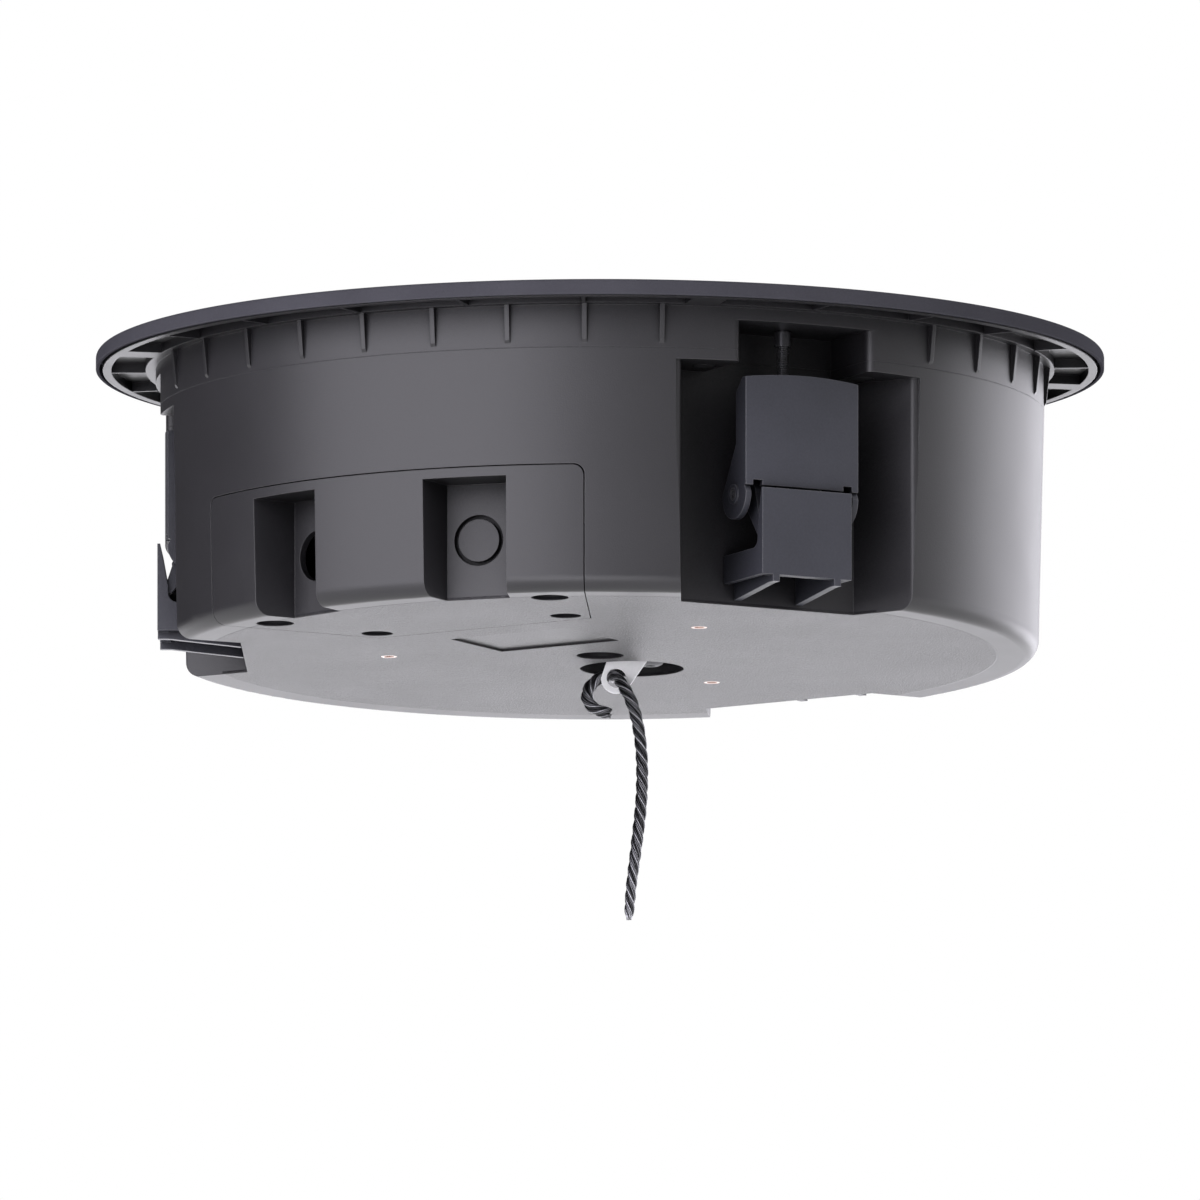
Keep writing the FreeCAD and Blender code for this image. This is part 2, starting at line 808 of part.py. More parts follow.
def driver_basket():
    throat = basket_radius - basket_flange_width
    neck = throat + basket_neck
    floor_top = basket_floor + basket_floor_thickness
    seat_in = spider_seat_radius - spider_seat_width
    body = turned([
        (basket_radius, gasket_top), (basket_radius, flange_top), (throat, flange_top),
        (throat, gasket_top), (basket_floor_radius - basket_wall, floor_top),
        (spider_seat_radius, floor_top), (spider_seat_radius, spider_height),
        (seat_in, spider_height), (seat_in, floor_top), (basket_floor_hole, floor_top),
        (basket_floor_hole, basket_floor), (basket_floor_radius, basket_floor), (neck, gasket_top),
    ])
    half = math.tan(math.radians(basket_window_half_deg))
    near = spider_seat_radius + past
    window = prism(
        [(-near * half, near), (near * half, near),
         (basket_radius * half, basket_radius), (-basket_radius * half, basket_radius)],
        basket_window_bottom, basket_window_top)
    cuts = [about_z(window, 360 / basket_window_count * k) for k in range(basket_window_count)]
    for k in range(driver_screw_count):
        hole = rod(driver_screw_radius + fit_gap, gasket_top - past, flange_top + past)
        cuts.append(at_polar(hole, driver_screw_at, driver_screw_angle(k)))
    return body.cut(cuts)


def driver_screws():
    head = rod(driver_screw_head, flange_top, flange_top + driver_screw_head_height)
    shank = rod(driver_screw_radius, flange_top - driver_screw_length, flange_top + past / 2)
    one = head.fuse(shank).removeSplitter()
    return Part.makeCompound(
        [at_polar(one, driver_screw_at, driver_screw_angle(k)) for k in range(driver_screw_count)])


def surround():
    """Half-roll edge between the cone and the basket flange."""
    inner = cone_radius + slide_gap
    outer = inner + surround_width
    crest = (inner + outer) / 2
    low = flange_top
    t = surround_thickness
    return turned([
        (inner, low), ((crest, low + surround_rise), (outer, low)), (outer + surround_lip, low),
        (outer + surround_lip, low + t), (outer + t, low + t),
        ((crest, low + surround_rise + t), (inner, low + t)),
    ])


def cone():
    neck = coil_radius + slide_gap
    return turned([
        (cone_radius, cone_top), (cone_radius, cone_top + cone_thickness),
        (neck, cone_neck + cone_thickness), (neck, cone_neck),
    ])


def spider():
    inner = coil_radius + slide_gap
    return ring(spider_seat_radius, inner, spider_height, spider_height + spider_thickness)


def voice_coil():
    return ring(coil_radius, coil_radius - coil_wall, coil_bottom, coil_top)


def top_plate():
    return ring(plate_radius, coil_radius + coil_gap, top_plate_bottom, basket_floor)


def magnet_ring():
    return ring(magnet_ring_radius, magnet_ring_hole, magnet_bottom, top_plate_bottom)


def pole_piece():
    low = magnet_bottom - back_plate_thickness
    pole = coil_radius - coil_wall - coil_gap
    return turned([
        (0, low), (plate_radius, low), (plate_radius, magnet_bottom), (pole, magnet_bottom),
        (pole, basket_floor), (0, basket_floor),
    ])


def tweeter_post():
    return rod(post_radius, basket_floor, tweeter_bottom)


def tweeter_cup():
    high = tweeter_bottom + tweeter_height
    return turned([
        (0, tweeter_bottom), (tweeter_radius, tweeter_bottom), (tweeter_radius, high),
        (dome_radius, high), (dome_radius, tweeter_bottom + tweeter_wall), (0, tweeter_bottom + tweeter_wall),
    ])


def tweeter_dome():
    base = tweeter_bottom + tweeter_height
    rim = (dome_radius + tweeter_radius) / 2
    sphere = (dome_radius ** 2 + dome_rise ** 2) / (2 * dome_rise)
    half = math.asin(dome_radius / sphere) / 2
    mid = (sphere * math.sin(half), base + dome_rise - sphere + sphere * math.cos(half))
    t = dome_thickness
    return turned([
        (0, base + dome_rise), (mid, (dome_radius, base)), (rim, base), (rim, base + t),
        (dome_radius, base + t), ((mid[0], mid[1] + t), (0, base + dome_rise + t)),
    ])


def board_posts():
    reach_x = board_length / 2 - board_post_inset
    reach_y = board_width / 2 - board_post_inset
    for side_x in (-1, 1):
        for side_y in (-1, 1):
            yield board_x + side_x * reach_x, board_y + side_y * reach_y


def crossover_board():
    corner = Vector(board_x - board_length / 2, board_y - board_width / 2, board_bottom)
    return Part.makeBox(board_length, board_width, board_thickness, corner)


def crossover_inductor():
    winding = ring(inductor_radius, inductor_core_radius, board_top, board_top + inductor_height)
    return winding.translated(Vector(board_x + inductor_offset, board_y, 0))


def crossover_capacitors():
    cans = []
    for side in (-1, 1):
        x = board_x + capacitor_offset
        y = board_y + side * capacitor_spacing / 2
        cans.append(rod(capacitor_radius, board_top, board_top + capacitor_height, x, y))
    return Part.makeCompound(cans)


# Clamp pieces, drawn at -Y
def clamp_screw():
    head = rod(screw_head_radius, baffle_top, baffle_top + screw_head_height, 0, -screw_depth)
    shank = rod(screw_radius, back_face + screw_end_rise, baffle_top + past, 0, -screw_depth)
    return head.fuse(shank).removeSplitter()


def screw_collar():
    high = baffle_bottom - fit_gap
    body = ring(collar_radius, screw_radius + slide_gap, high - collar_height, high)
    return body.translated(Vector(0, -screw_depth, 0))


def clamp_carriage():
    back = bay_depth + carriage_back_gap
    half = plate_half_width
    lip = plate_front - plate_lip
    bevel_end = plate_top - bevel_length
    r = notch_round
    mid = r * (1 - math.cos(math.radians(45)))
    side_view = [
        (plate_front, plate_top), (plate_front, plate_bottom), (back, plate_bottom), (back, block_top),
        (plate_back - r, block_top), ((plate_back - mid, block_top + mid), (plate_back, block_top + r)),
        (plate_back, bevel_end), (lip, plate_top),
    ]
    solid = cheek(side_view, -half, half)
    inside = half - cheek_thickness
    hollow = block(-inside, inside, back - past, plate_back, plate_bottom - past, block_top - block_web)
    solid = solid.cut(hollow)
    rail_view = [
        (plate_front, block_top - past), (plate_front, plate_bottom - rail_front_drop),
        (plate_back, plate_bottom - rail_front_drop), (back, plate_bottom - rail_back_drop),
        (back, block_top - past),
    ]
    added = []
    lug_foot = block_top + r
    for side in (-1, 1):
        mid_lat = side * rail_lat
        added.append(cheek(rail_view, mid_lat - rail_width / 2, mid_lat + rail_width / 2))
        start = side * lug_lat if side > 0 else -lug_lat - lug_width
        eye = cross_rod(lug_radius, start, start + lug_width, pivot_depth, pivot_height)
        strut = cheek(
            [(pivot_depth - lug_radius, pivot_height), (pivot_depth, pivot_height + lug_radius),
             (pivot_depth + lug_radius, pivot_height), (plate_back + past, bevel_end),
             (plate_back + past, lug_foot), (plate_back - past, lug_foot)],
            start, start + lug_width)
        added += [eye, strut]
    solid = joined(solid, added)
    bore = cross_rod(pin_radius + slide_gap, -half, half, pivot_depth, pivot_height)
    screw_hole = rod(screw_radius + fit_gap, plate_bottom, block_top + past, 0, -screw_depth)
    return solid.cut([bore, screw_hole])


def clamp_nut():
    top = block_top - block_web
    nut = hexagon(nut_flat, top - nut_height, top, screw_depth)
    return nut.cut(rod(screw_radius + slide_gap, top - nut_height - past, top + past, 0, -screw_depth))


def clamp_foot():
    crown = foot_top + foot_crown
    shell = ring(foot_radius, foot_radius - foot_thickness, foot_bottom, crown)
    front_view = [
        (-foot_half_width, foot_bottom), (foot_half_width, foot_bottom), (foot_half_width, foot_top),
        ((0, crown), (-foot_half_width, foot_top)),
    ]
    wire = outline(on_plane(front_view, lambda lat, z: Vector(lat, 0, z)))
    plate = shell.common(Part.Face(wire).extrude(Vector(0, -bay_outside, 0)))
    reach = math.sqrt(foot_radius ** 2 - foot_half_width ** 2)
    front = reach - foot_thickness / 2
    neck = pivot_height + 2 * ear_round
    side_view = [
        (front, foot_top), (ear_back + ear_chamfer, foot_top), (ear_back, foot_top - ear_chamfer),
        (ear_back, neck), (pivot_depth - ear_round, pivot_height),
        ((pivot_depth, pivot_height - ear_round), (pivot_depth + ear_round, pivot_height)),
        (front, foot_bottom),
    ]
    ears = []
    boss_width = ear_thickness + ear_boss_height
    for side in (-1, 1):
        start = foot_half_width - ear_thickness if side > 0 else -foot_half_width
        ears.append(cheek(side_view, start, start + ear_thickness))
        start = foot_half_width - ear_thickness if side > 0 else -foot_half_width - ear_boss_height
        ears.append(cross_rod(ear_boss_radius, start, start + boss_width, pivot_depth, pivot_height))
    cuts = [cross_rod(pin_radius + slide_gap, -slot_half_width, slot_half_width, pivot_depth, pivot_height)]
    for side in (-1, 1):
        start = side * foot_notch_lat - foot_notch_width / 2
        cuts.append(block(start, start + foot_notch_width, ear_back, bay_outside,
                          foot_bottom - past, foot_bottom + foot_notch_height))
    return joined(plate, ears).cut(cuts)


def pivot_pin():
    """Pin through both ears, flush with their bosses, with a hexagon socket in each end."""
    half = foot_half_width + ear_boss_height
    shaft = cross_rod(pin_radius, -half, half, pivot_depth, pivot_height)
    angles = [math.radians(60 * k) for k in range(6)]
    corner = pin_hex / math.cos(math.radians(30))
    hexed = [(pivot_depth + corner * math.cos(a), pivot_height + corner * math.sin(a)) for a in angles]
    sockets = [cheek(hexed, side * half, side * (half - past)) for side in (-1, 1)]
    return shaft.cut(sockets)


def clamp_spring():
    """Coil about the pin, drawn as a sleeve, with one leg to the foot and one to the plate."""
    inner = pin_radius + slide_gap
    outer = inner + spring_wire
    end = spring_start + spring_turns_width
    sleeve = cross_rod(outer, spring_start, end, pivot_depth, pivot_height).cut(
        cross_rod(inner, spring_start - past, end + past, pivot_depth, pivot_height))
    up = block(end - spring_wire, end, pivot_depth + inner, pivot_depth + outer,
               pivot_height, pivot_height + spring_leg)
    down = block(spring_start, spring_start + spring_wire, pivot_depth + inner, pivot_depth + outer,
                 pivot_height - spring_leg, pivot_height)
    return joined(sleeve, [up, down])


os.makedirs("parts", exist_ok=True)

single_pieces = (
    grille, grille_magnets, mounting_frame, back_can, can_screws, terminal_cover, cover_screws,
    blanking_plug, threaded_inserts, terminal_block, rope_anchor, anchor_screw, safety_rope,
    driver_gasket, driver_basket, driver_screws, surround, cone, spider, voice_coil, top_plate,
    magnet_ring, pole_piece, tweeter_post, tweeter_cup, tweeter_dome, crossover_board,
    crossover_inductor, crossover_capacitors,
)
for make in single_pieces:
    save(make.__name__, make())

clamp_pieces = (
    clamp_screw, screw_collar, clamp_carriage, clamp_nut, clamp_foot, pivot_pin, clamp_spring,
)
for make in clamp_pieces:
    drawn = make()
    for number, angle in enumerate(clamp_angles, start=1):
        save("%s_%d" % (make.__name__, number), about_z(drawn, angle))
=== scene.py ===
import bpy
import math
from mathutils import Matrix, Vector


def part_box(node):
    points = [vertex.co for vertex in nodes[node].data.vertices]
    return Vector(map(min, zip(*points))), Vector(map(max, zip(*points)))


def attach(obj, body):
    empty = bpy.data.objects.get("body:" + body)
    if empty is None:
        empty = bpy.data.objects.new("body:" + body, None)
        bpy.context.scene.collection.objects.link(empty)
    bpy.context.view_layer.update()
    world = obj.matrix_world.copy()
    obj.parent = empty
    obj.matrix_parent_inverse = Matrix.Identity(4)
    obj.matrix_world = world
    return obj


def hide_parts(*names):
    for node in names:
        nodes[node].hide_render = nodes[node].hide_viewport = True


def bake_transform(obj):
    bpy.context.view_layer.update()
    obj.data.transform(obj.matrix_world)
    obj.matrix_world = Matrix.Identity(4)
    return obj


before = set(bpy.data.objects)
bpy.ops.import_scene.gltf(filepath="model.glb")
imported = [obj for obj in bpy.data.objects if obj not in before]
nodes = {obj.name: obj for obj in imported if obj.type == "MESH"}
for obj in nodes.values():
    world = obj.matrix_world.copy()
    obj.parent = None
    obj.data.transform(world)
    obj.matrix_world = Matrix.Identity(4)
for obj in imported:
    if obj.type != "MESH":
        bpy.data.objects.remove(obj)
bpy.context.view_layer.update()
scene = bpy.context.scene

# The photograph's view, nearly parallel, from a little below
view_azimuth = math.radians(32.0)
view_elevation = math.radians(-8.65)
frame_width = 0.3808
below_origin = 0.0728
camera_distance = 1.2
to_camera = Vector((math.sin(view_azimuth), -math.cos(view_azimuth), 0))
to_right = Vector((math.cos(view_azimuth), math.sin(view_azimuth), 0))
up = Vector((0, 0, 1))

# The can's wall and its flat back face
can_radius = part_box("back_can")[1].x
back_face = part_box("back_can")[0].z

# Edges that turn by more than this stay sharp on creased pieces
crease_angle = math.radians(35)

white = (1, 1, 1, 1)
black = (0, 0, 0, 1)


# Camera
def make_camera():
    out = to_camera * math.cos(view_elevation) + up * math.sin(view_elevation)
    screen_up = up * math.cos(view_elevation) - to_camera * math.sin(view_elevation)
    data = bpy.data.cameras.new("camera")
    data.type = "ORTHO"
    data.ortho_scale = frame_width
    data.clip_start = 0.01
    data.clip_end = 20.0
    camera = bpy.data.objects.new("camera", data)
    camera.location = -below_origin * screen_up + camera_distance * out
    camera.rotation_euler = (-out).to_track_quat("-Z", "Y").to_euler()
    scene.collection.objects.link(camera)
    scene.camera = camera


# Mesh helpers
def new_piece(name, verts, faces, body, creased=False):
    """A smooth piece that rides on a body, if one is named, and keeps its sharp edges, if creased."""
    mesh = bpy.data.meshes.new(name)
    mesh.from_pydata(verts, [], faces)
    mesh.update()
    mesh.shade_smooth()
    if creased:
        mesh.set_sharp_from_angle(angle=crease_angle)
    piece = bpy.data.objects.new(name, mesh)
    scene.collection.objects.link(piece)
    if body:
        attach(piece, body)
    return piece


def full_circle(count):
    """Angles spread evenly over one turn."""
    return [2 * math.pi * k / count for k in range(count)]


def on_circle(radius, turn, z, x=0.0, y=0.0):
    """A point on a level circle round x and y."""
    return (x + radius * math.cos(turn), y + radius * math.sin(turn), z)


def leaning(side, other, turn):
    """The direction at an angle from side towards other."""
    return math.cos(turn) * side + math.sin(turn) * other


def sideways(points):
    """For each point two directions across the line, which don't spin along it."""
    side = None
    pairs = []
    for i in range(len(points)):
        ahead = (points[min(i + 1, len(points) - 1)] - points[max(i - 1, 0)]).normalized()
        if side is None:
            side = ahead.orthogonal().normalized()
        side = (side - ahead * side.dot(ahead)).normalized()
        pairs.append((side, ahead.cross(side)))
    return pairs


def tube(points, radius, sides, verts, faces):
    """Adds a closed tube along points."""
    first = len(verts)
    for point, (side, other) in zip(points, sideways(points)):
        for turn in full_circle(sides):
            verts.append(point + radius * leaning(side, other, turn))
    for i in range(len(points) - 1):
        for k in range(sides):
            a = first + i * sides + k
            b = first + i * sides + (k + 1) % sides
            faces.append((a, b, b + sides, a + sides))
    faces.append(tuple(first + k for k in reversed(range(sides))))
    faces.append(tuple(len(verts) - sides + k for k in range(sides)))


def lathe(profile, x, y, sides, verts, faces):
    """Adds a closed turned form. Its profile runs from axis to axis, and a third value means a hexagon."""
    rings = []
    for radius, z, *hexed in profile:
        if radius == 0:
            rings.append([len(verts)] * sides)
            verts.append((x, y, z))
            continue
        rings.append([len(verts) + k for k in range(sides)])
        for turn in full_circle(sides):
            from_flat = turn % (math.pi / 3) - math.pi / 6
            reach = radius / math.cos(from_flat) if hexed else radius
            verts.append(on_circle(reach, turn, z, x, y))
    for a, b in zip(rings, rings[1:]):
        for k in range(sides):
            n = (k + 1) % sides
            corners = [a[k], a[n], b[n], b[k]]
            faces.append(tuple(dict.fromkeys(corners)))


def turned_ring(profile, around, verts, faces):
    """Adds a turned ring about the origin. Its profile ends where it starts."""
    first = len(verts)
    for turn in full_circle(around):
        for radius, z in profile:
            verts.append(on_circle(radius, turn, z))
    for i in range(around):
        here = first + i * len(profile)
        there = first + (i + 1) % around * len(profile)
        for k in range(len(profile) - 1):
            faces.append((here + k, here + k + 1, there + k + 1, there + k))


def thread(x, y, low, high, core, crest, pitch, verts, faces):
    """Adds a right-hand helical ridge whose foot is sunk in the core."""
    per_turn = 20
    foot = core - 0.0001
    half_foot = 0.34 * pitch
    half_crest = 0.07 * pitch
    section = ((foot, -half_foot), (crest, -half_crest), (crest, half_crest), (foot, half_foot))
    corners = len(section)
    count = int((high - low) / pitch * per_turn)
    first = len(verts)
    for i in range(count + 1):
        turn = 2 * math.pi * i / per_turn
        for radius, rise in section:
            verts.append(on_circle(radius, turn, low + pitch * i / per_turn + rise, x, y))
    for i in range(count):
        for k in range(corners):
            a = first + i * corners + k
            b = first + i * corners + (k + 1) % corners
            faces.append((a, a + corners, b + corners, b))
    faces.append(tuple(first + k for k in range(corners)))
    faces.append(tuple(len(verts) - 1 - k for k in range(corners)))


# Safety rope: four left-hand strands of seven wires each round a core, along the route's smooth line
def rope_line():
    """Points of the smooth line that the route's points control."""
    route = (
        (-0.0108, 0.0235, -0.1061), (-0.0149, 0.0220, -0.1054), (-0.0184, 0.0213, -0.1018),
        (-0.0188, 0.0227, -0.0976), (-0.0164, 0.0250, -0.0942), (-0.0117, 0.0256, -0.0938),
        (-0.0080, 0.0226, -0.0952), (-0.0042, 0.0198, -0.0976), (-0.0003, 0.0197, -0.1036),
        (0.0020, 0.0204, -0.1127), (0.0030, 0.0207, -0.1240), (0.0027, 0.0206, -0.1360),
        (0.0017, 0.0199, -0.1470), (0.0005, 0.0192, -0.1575), (-0.0004, 0.0186, -0.1665),
        (-0.0007, 0.0185, -0.1738),
    )
    curve = bpy.data.curves.new("rope_line", "CURVE")
    curve.dimensions = "3D"
    curve.resolution_u = 16
    spline = curve.splines.new("NURBS")
    spline.points.add(len(route) - 1)
    for point, place in zip(spline.points, route):
        point.co = (*place, 1.0)
    spline.order_u = 3
    spline.use_endpoint_u = True
    line_object = bpy.data.objects.new("rope_line", curve)
    line_mesh = bpy.data.meshes.new_from_object(line_object)
    line = [v.co.copy() for v in line_mesh.vertices]
    bpy.data.meshes.remove(line_mesh)
    bpy.data.objects.remove(line_object)
    bpy.data.curves.remove(curve)
    return line


def twisted(points, lengths, slimness, radius, lay_length, start):
    """A left-hand helix round points that are lengths along a line, drawn in where slimness is below 1."""
    helix = []
    for point, (side, other), length, slim in zip(points, sideways(points), lengths, slimness):
        turn = 2 * math.pi * (start - length / lay_length)
        helix.append(point + slim * radius * leaning(side, other, turn))
    return helix


def make_rope():
    strands = 4
    lay_radius = 0.00117
    lay_length = 0.0180
    wires = 6
    wire_sides = 6
    wire_radius = 0.00029
    wire_lay_radius = 0.00056
    wire_lay_length = 0.0150
    core_radius = 1.6 * wire_radius
    taper = 0.2
    taper_length = 0.030
    tip_share = 0.45
    tip_length = 0.003
    # Painted shade: every other wire counts as this much nearer the axis, so it takes part of the groove's
    # dark colour
    painted_wire_shade = 0.0003
    line = rope_line()
    lengths = [0.0]
    for a, b in zip(line, line[1:]):
        lengths.append(lengths[-1] + (b - a).length)
    slimness = []
    for length in lengths:
        left = lengths[-1] - length
        slim = 1 - taper * max(0.0, 1 - left / taper_length)
        slimness.append(slim * min(1.0, tip_share + (1 - tip_share) * left / tip_length))
    verts = []
    faces = []
    for strand in range(strands):
        points = twisted(line, lengths, slimness, lay_radius, lay_length, strand / strands)
        tube(points, wire_radius, wire_sides, verts, faces)
        for wire in range(wires):
            path = twisted(points, lengths, slimness, wire_lay_radius, wire_lay_length, wire / wires)
            tube(path, wire_radius, wire_sides, verts, faces)
    tube(line, core_radius, wire_sides, verts, faces)
    rope = new_piece("safety_rope_strands", verts, faces, "housing")
    # How far out each point lies, less on every other wire: the material paints shade into the grooves and
    # onto every other wire, so the crowns of the rest read as lit
    crown = rope.data.attributes.new("crown", "FLOAT", "POINT")
    for i, vert in enumerate(verts):
        tube_number, at = divmod(i // wire_sides, len(line))
        wire_shade = painted_wire_shade if tube_number % 2 else 0.0
        crown.data[i].value = (vert - line[at]).length / slimness[at] - wire_shade
    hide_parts("safety_rope")
    return rope


# Grille: sheet with six-sided holes in a close pattern, a bare border and a rolled skirt
def hole_centres(pitch, reach):
    """Centres in rows, every other row shifted by half a pitch, within reach of the axis."""
    row_height = pitch * math.sqrt(3) / 2
    rows = int(reach / row_height) + 1
    centres = []
    for row in range(-rows, rows + 1):
        shift = pitch / 2 if row % 2 else 0.0
        for column in range(-rows, rows + 1):
            x = column * pitch + shift
            y = row * row_height
            if math.hypot(x, y) <= reach:
                centres.append((x, y))
    return centres


def perforated_sheet(centres, pitch, hole, top, bottom, verts, faces):
    """Adds a sheet of hexagonal cells with shared corners, each with a hole down to the bottom."""
    weld = 0.000005
    turns = [math.radians(30 + 60 * k) for k in range(6)]
    sides = len(turns)
    cell = pitch / math.sqrt(3)
    corners = {}

    def corner(x, y):
        key = (round(x / weld), round(y / weld))
        if key not in corners:
            corners[key] = len(verts)
            verts.append((x, y, top))
        return corners[key]

    for x, y in centres:
        ring = [corner(x + cell * math.cos(turn), y + cell * math.sin(turn)) for turn in turns]
        upper = len(verts)
        lower = upper + sides
        for z in (top, bottom):
            for turn in turns:
                verts.append(on_circle(hole, turn, z, x, y))
        for k in range(sides):
            n = (k + 1) % sides
            faces.append((ring[k], ring[n], upper + n, upper + k))
            faces.append((upper + k, upper + n, lower + n, lower + k))


def make_grille():
    low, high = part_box("grille")
    outer = high.x
    front = high.z
    skirt = low.z
    sheet = 0.0011
    sheet_drop = 0.00004
    pitch = 0.0038
    hole = 0.00125
    border = outer - 0.0095
    border_gap = 0.0002
    inner = border - 0.0022
    roll = 0.0015
    roll_steps = 6
    chamfer = 0.0002
    around = 240
    verts = []
    faces = []
    centres = hole_centres(pitch, border - border_gap)
    perforated_sheet(centres, pitch, hole, front - sheet_drop, front - sheet, verts, faces)
    profile = [(inner, front)]
    for k in range(roll_steps + 1):
        turn = math.pi / 2 * k / roll_steps
        profile.append((outer - roll + roll * math.sin(turn), front - roll + roll * math.cos(turn)))
    profile += [(outer, skirt + chamfer), (outer - chamfer, skirt), (outer - sheet, skirt)]
    profile += [(outer - sheet, front - sheet), (inner, front - sheet), (inner, front)]
    turned_ring(profile, around, verts, faces)
    grille = new_piece("perforated_grille", verts, faces, "housing", creased=True)
    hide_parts("grille")
    return grille


# Clamp screws with threads and sockets
def make_clamp_screw(k):
    low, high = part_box(f"clamp_screw_{k}")
    centre = (low + high) / 2
    crest = 0.0020
    core = 0.00165
    pitch = 0.0007
    chamfer = 0.0004
    thread_start = 0.0008
    head = (high.x - low.x) / 2
    head_height = 0.0024
    shoulder_width = 0.0010
    shoulder_height = 0.0009
    shoulder_cut = 0.0003
    neck_length = 0.0045
    socket = 0.00125
    socket_depth = 0.0014
    socket_tip = 0.0018
    sides = 36
    under = high.z - head_height
    neck = under - neck_length
    verts = []
    faces = []
    lathe((
        (0, low.z), (core - chamfer, low.z), (core, low.z + chamfer), (core, neck), (crest, neck + chamfer),
        (crest, under), (head, under), (head, high.z - shoulder_height),
        (head - shoulder_cut, high.z - shoulder_cut), (head - shoulder_width, high.z),
        (socket, high.z, True), (socket, high.z - socket_depth, True), (0, high.z - socket_tip),
    ), centre.x, centre.y, sides, verts, faces)
    thread(centre.x, centre.y, low.z + thread_start, neck, core, crest, pitch, verts, faces)
    piece = new_piece(f"threaded_screw_{k}", verts, faces, f"screw_{k}", creased=True)
    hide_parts(f"clamp_screw_{k}")
    return piece


# Wound springs on the clamps' pins
def make_spring(k):
    low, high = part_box(f"pivot_pin_{k}")
    centre = (low + high) / 2
    out = Vector((centre.x, centre.y, 0)).normalized()
    along = up.cross(out)
    wire = 0.0006
    wire_sides = 8
    coil = 0.00235
    start = 0.0053
    turns = 7
    per_turn = 24
    pitch = 0.00063
    leg = 0.0087
    leg_steps = 8
    points = []
    for i in range(leg_steps):
        points.append(centre + along * start + out * coil - up * leg * (leg_steps - i) / leg_steps)
    for i in range(turns * per_turn + 1):
        shift = along * (start + pitch * i / per_turn)
        points.append(centre + shift + coil * leaning(out, up, 2 * math.pi * i / per_turn))
    coil_end = points[-1]
    for i in range(leg_steps):
        points.append(coil_end + up * leg * (i + 1) / leg_steps)
    verts = []
    faces = []
    tube(points, wire / 2, wire_sides, verts, faces)
    piece = new_piece(f"wound_spring_{k}", verts, faces, f"carriage_{k}")
    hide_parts(f"clamp_spring_{k}")
    return piece


# Anchor screw with its socket, head down
def make_anchor_screw():
    low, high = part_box("anchor_screw")
    centre = (low + high) / 2
    head = (high.x - low.x) / 2
    head_height = 0.0030
    shank = 0.0020
    socket = 0.0016
    socket_depth = 0.0018
    socket_tip = 0.0020
    dome_in_and_up = ((0.0018, 0.0), (0.0007, 0.0005), (0.0001, 0.0014))
    sides = 36
    seat = low.z + head_height
    verts = []
    faces = []
    lathe((
        (0, low.z + socket_tip), (socket, low.z + socket_depth, True), (socket, low.z, True),
        *((head - inward, low.z + rise) for inward, rise in dome_in_and_up),
        (head, seat), (shank, seat), (shank, high.z), (0, high.z),
    ), centre.x, centre.y, sides, verts, faces)
    piece = new_piece("socket_anchor_screw", verts, faces, "housing", creased=True)
    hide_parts("anchor_screw")
    return piece


# Spider, which rises a little to the coil, so that its inner edge can follow the cone
def make_spider():
    low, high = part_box("spider")
    coil_gap = 0.00005
    outer = high.x
    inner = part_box("voice_coil")[1].x + coil_gap
    rise = 0.0016
    ripple = 0.00012
    rolls = 4
    steps = 48
    around = 120
    upper = []
    lower = []
    for i in range(steps + 1):
        share = i / steps
        radius = inner + (outer - inner) * share
        lift = rise * (1 - share) + ripple * math.sin(2 * math.pi * rolls * share)
        upper.append((radius, high.z + lift))
        lower.append((radius, low.z + lift))
    verts = []
    faces = []
    turned_ring(upper + lower[::-1] + upper[:1], around, verts, faces)
    piece = new_piece("rippled_spider", verts, faces, None, creased=True)
    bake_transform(piece)
    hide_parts("spider")
    return piece


# Node helpers
def put(tree, kind, inputs=(), **settings):
    """A new node with its settings. An input is linked to a socket or set to a value."""
    made = tree.nodes.new("ShaderNode" + kind)
    for key, value in settings.items():
        setattr(made, key, value)
    for key, value in dict(inputs).items():
        if isinstance(value, bpy.types.NodeSocket):
            tree.links.new(value, made.inputs[key])
        else:
            made.inputs[key].default_value = value
    return made


def noise(tree, place, scale, detail):
    return put(tree, "TexNoise", {"Vector": place, "Scale": scale, "Detail": detail}).outputs[0]


def mix_colour(tree, share, a, b):
    """Colour a where the share is 0 and b where it is 1."""
    return put(tree, "Mix", {0: share, 6: a, 7: b}, data_type="RGBA").outputs[2]


def ramp(tree, value, low, high, start=0.0, end=1.0):
    """From start to end while the value goes from low to high."""
    ends = {"From Min": low, "From Max": high, "To Min": start, "To Max": end}
    return put(tree, "MapRange", {"Value": value, **ends}).outputs[0]


def number(tree, operation, *values):
    return put(tree, "Math", dict(enumerate(values)), operation=operation).outputs[0]


def vector(tree, operation, *vectors):
    return put(tree, "VectorMath", dict(enumerate(vectors)), operation=operation).outputs[0]


def measure(tree, operation, *vectors):
    """The number that a length or a dot product gives."""
    return put(tree, "VectorMath", dict(enumerate(vectors)), operation=operation).outputs["Value"]


def scaled(tree, way, scale):
    return put(tree, "VectorMath", {0: way, "Scale": scale}, operation="SCALE").outputs[0]


def part_of(tree, way, axis):
    return put(tree, "SeparateXYZ", {0: way}).outputs[axis]


def from_axis(tree, place):
    """The level way from the can's axis to a place."""
    return put(tree, "CombineXYZ", {0: part_of(tree, place, 0), 1: part_of(tree, place, 1)}).outputs[0]


def tinted(colour, scale=1.0, lift=0.0):
    return (*(min(1.0, c * scale + lift) for c in colour), 1.0)


def new_look(name):
    """A material with an empty node tree, and its tree."""
    made = bpy.data.materials.new(name)
    made.use_nodes = True
    made.node_tree.nodes.clear()
    return made, made.node_tree


